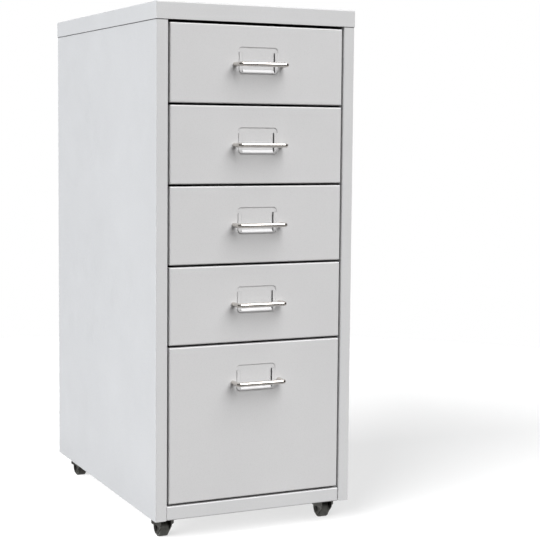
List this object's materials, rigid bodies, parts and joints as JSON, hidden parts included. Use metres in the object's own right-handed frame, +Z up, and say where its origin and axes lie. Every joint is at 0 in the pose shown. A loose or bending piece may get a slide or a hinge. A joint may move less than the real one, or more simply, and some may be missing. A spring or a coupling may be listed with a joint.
{
  "type": "drawer cabinet",
  "caption": "Narrow sheet-steel drawer cabinet on small swivel casters, with low drawers over a deep bottom drawer, wire bow handles and pressed label holders.",
  "frame": {"origin": "on the floor, under the middle of the overall box with handles and rear screw heads", "axes": "+X to the right seen from the front, +Y from the drawer fronts to the back, +Z up"},
  "size_m": [0.282, 0.4534, 0.693],
  "materials": {
    "body_paint": "light grey powder coat, satin",
    "front_paint": "light grey powder coat, satin",
    "tray_paint": "light grey powder coat, satin",
    "handle_chrome": "polished plating",
    "caster_steel": "bright zinc plating",
    "fastener_zinc": "bright zinc plating",
    "wheel_plastic": "dark grey moulded plastic"
  },
  "bodies": {
    "cabinet": {"side_panel_left": "body_paint", "side_panel_right": "body_paint", "bottom_panel": "body_paint", "back_panel": "body_paint", "top_cover": "body_paint", "runner_left_1": "body_paint", "runner_left_2": "body_paint", "runner_left_3": "body_paint", "runner_left_4": "body_paint", "runner_left_5": "body_paint", "runner_right_1": "body_paint", "runner_right_2": "body_paint", "runner_right_3": "body_paint", "runner_right_4": "body_paint", "runner_right_5": "body_paint", "caster_plate_fl": "caster_steel", "caster_plate_fr": "caster_steel", "caster_plate_bl": "caster_steel", "caster_plate_br": "caster_steel", "caster_kingpins": "fastener_zinc", "caster_screws": "fastener_zinc", "caster_nuts": "fastener_zinc", "panel_screws": "fastener_zinc"},
    "drawer_1": {"drawer_front_1": "front_paint", "drawer_tray_1": "tray_paint", "drawer_handle_1": "handle_chrome", "handle_screws_1": "fastener_zinc"},
    "drawer_2": {"drawer_front_2": "front_paint", "drawer_tray_2": "tray_paint", "drawer_handle_2": "handle_chrome", "handle_screws_2": "fastener_zinc"},
    "drawer_3": {"drawer_front_3": "front_paint", "drawer_tray_3": "tray_paint", "drawer_handle_3": "handle_chrome", "handle_screws_3": "fastener_zinc"},
    "drawer_4": {"drawer_front_4": "front_paint", "drawer_tray_4": "tray_paint", "drawer_handle_4": "handle_chrome", "handle_screws_4": "fastener_zinc"},
    "drawer_5": {"drawer_front_5": "front_paint", "drawer_tray_5": "tray_paint", "drawer_handle_5": "handle_chrome", "handle_screws_5": "fastener_zinc"},
    "caster_fl": {"caster_fork_fl": "caster_steel", "caster_axle_fl": "caster_steel"},
    "caster_fr": {"caster_fork_fr": "caster_steel", "caster_axle_fr": "caster_steel"},
    "caster_bl": {"caster_fork_bl": "caster_steel", "caster_axle_bl": "caster_steel"},
    "caster_br": {"caster_fork_br": "caster_steel", "caster_axle_br": "caster_steel"},
    "wheel_fl": {"caster_wheel_fl": "wheel_plastic"},
    "wheel_fr": {"caster_wheel_fr": "wheel_plastic"},
    "wheel_bl": {"caster_wheel_bl": "wheel_plastic"},
    "wheel_br": {"caster_wheel_br": "wheel_plastic"}
  },
  "joints": [
    {"name": "drawer_1_slide", "type": "slide", "parent": "cabinet", "child": "drawer_1", "axis": [0, -1, 0], "range_m": [0, 0.3]},
    {"name": "drawer_2_slide", "type": "slide", "parent": "cabinet", "child": "drawer_2", "axis": [0, -1, 0], "range_m": [0, 0.3]},
    {"name": "drawer_3_slide", "type": "slide", "parent": "cabinet", "child": "drawer_3", "axis": [0, -1, 0], "range_m": [0, 0.3]},
    {"name": "drawer_4_slide", "type": "slide", "parent": "cabinet", "child": "drawer_4", "axis": [0, -1, 0], "range_m": [0, 0.3]},
    {"name": "drawer_5_slide", "type": "slide", "parent": "cabinet", "child": "drawer_5", "axis": [0, -1, 0], "range_m": [0, 0.3]},
    {"name": "caster_fl_swivel", "type": "hinge", "parent": "cabinet", "child": "caster_fl", "pos_m": [-0.118, -0.1717, 0.025], "axis": [0, 0, 1], "continuous": true},
    {"name": "wheel_fl_spin", "type": "hinge", "parent": "caster_fl", "child": "wheel_fl", "pos_m": [-0.118, -0.1687, 0.011], "axis": [1, 0, 0], "continuous": true},
    {"name": "caster_fr_swivel", "type": "hinge", "parent": "cabinet", "child": "caster_fr", "pos_m": [0.118, -0.1717, 0.025], "axis": [0, 0, 1], "continuous": true},
    {"name": "wheel_fr_spin", "type": "hinge", "parent": "caster_fr", "child": "wheel_fr", "pos_m": [0.118, -0.1687, 0.011], "axis": [1, 0, 0], "continuous": true},
    {"name": "caster_bl_swivel", "type": "hinge", "parent": "cabinet", "child": "caster_bl", "pos_m": [-0.118, 0.1829, 0.025], "axis": [0, 0, 1], "continuous": true},
    {"name": "wheel_bl_spin", "type": "hinge", "parent": "caster_bl", "child": "wheel_bl", "pos_m": [-0.118, 0.1859, 0.011], "axis": [1, 0, 0], "continuous": true},
    {"name": "caster_br_swivel", "type": "hinge", "parent": "cabinet", "child": "caster_br", "pos_m": [0.118, 0.1829, 0.025], "axis": [0, 0, 1], "continuous": true},
    {"name": "wheel_br_spin", "type": "hinge", "parent": "caster_br", "child": "wheel_br", "pos_m": [0.118, 0.1859, 0.011], "axis": [1, 0, 0], "continuous": true}
  ]
}
